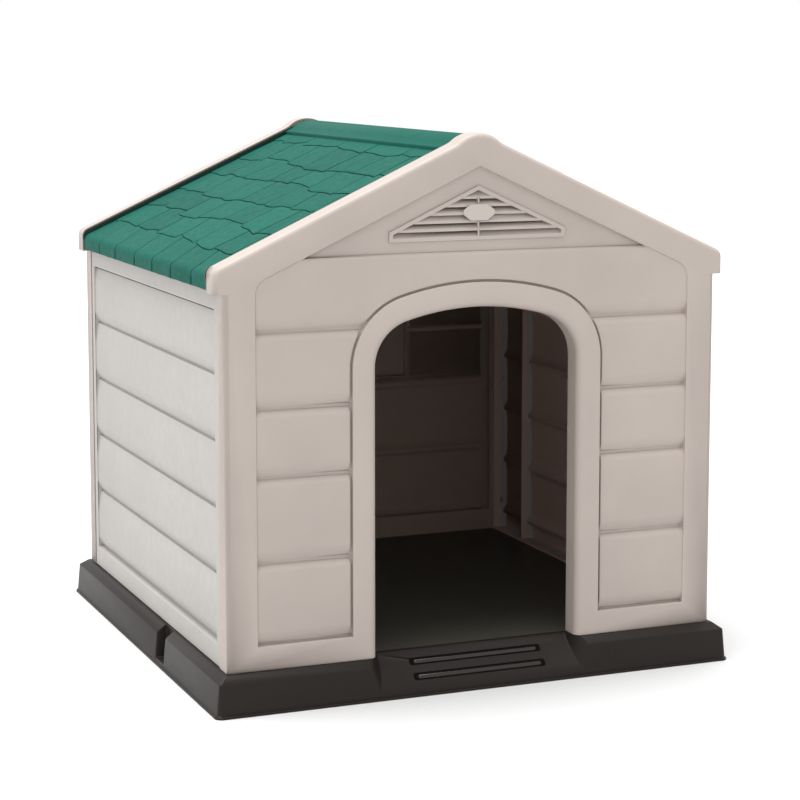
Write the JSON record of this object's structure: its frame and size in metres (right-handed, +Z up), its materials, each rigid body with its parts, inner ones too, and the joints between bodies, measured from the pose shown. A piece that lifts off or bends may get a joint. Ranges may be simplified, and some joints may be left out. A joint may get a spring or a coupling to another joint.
{
  "type": "animal hutch",
  "caption": "Snap-together plastic animal hutch with an arched doorway, lapped board walls, gable louvres and a lift-off slate-pattern roof.",
  "frame": {"origin": "on the ground under the middle of the tray's foot flange", "axes": "+Z up; the doorway faces -Y; +X to the right seen from the front"},
  "size_m": [0.848, 0.838, 0.8379],
  "materials": {
    "gable_beige": "beige moulded resin, satin",
    "side_ivory": "ivory moulded resin, satin",
    "plate_beige": "light beige moulded resin, satin",
    "roof_green": "green moulded resin, fine grain",
    "tray_charcoal": "charcoal moulded resin, satin",
    "zinc_steel": "bright zinc plate"
  },
  "bodies": {
    "house": {"base_tray": "tray_charcoal", "front_wall": "gable_beige", "rear_wall": "gable_beige", "left_wall": "side_ivory", "right_wall": "side_ivory", "front_louvre": "gable_beige", "rear_louvre": "gable_beige", "name_plate": "plate_beige", "corner_screws": "zinc_steel"},
    "roof": {"roof_left": "roof_green", "roof_right": "roof_green", "ridge_cap": "roof_green", "ridge_bolts": "zinc_steel", "ridge_nuts": "zinc_steel"}
  },
  "joints": [
    {"name": "roof_lift", "type": "slide", "parent": "house", "child": "roof", "axis": [0, 0, 1], "range_m": [0, 0.26]}
  ]
}
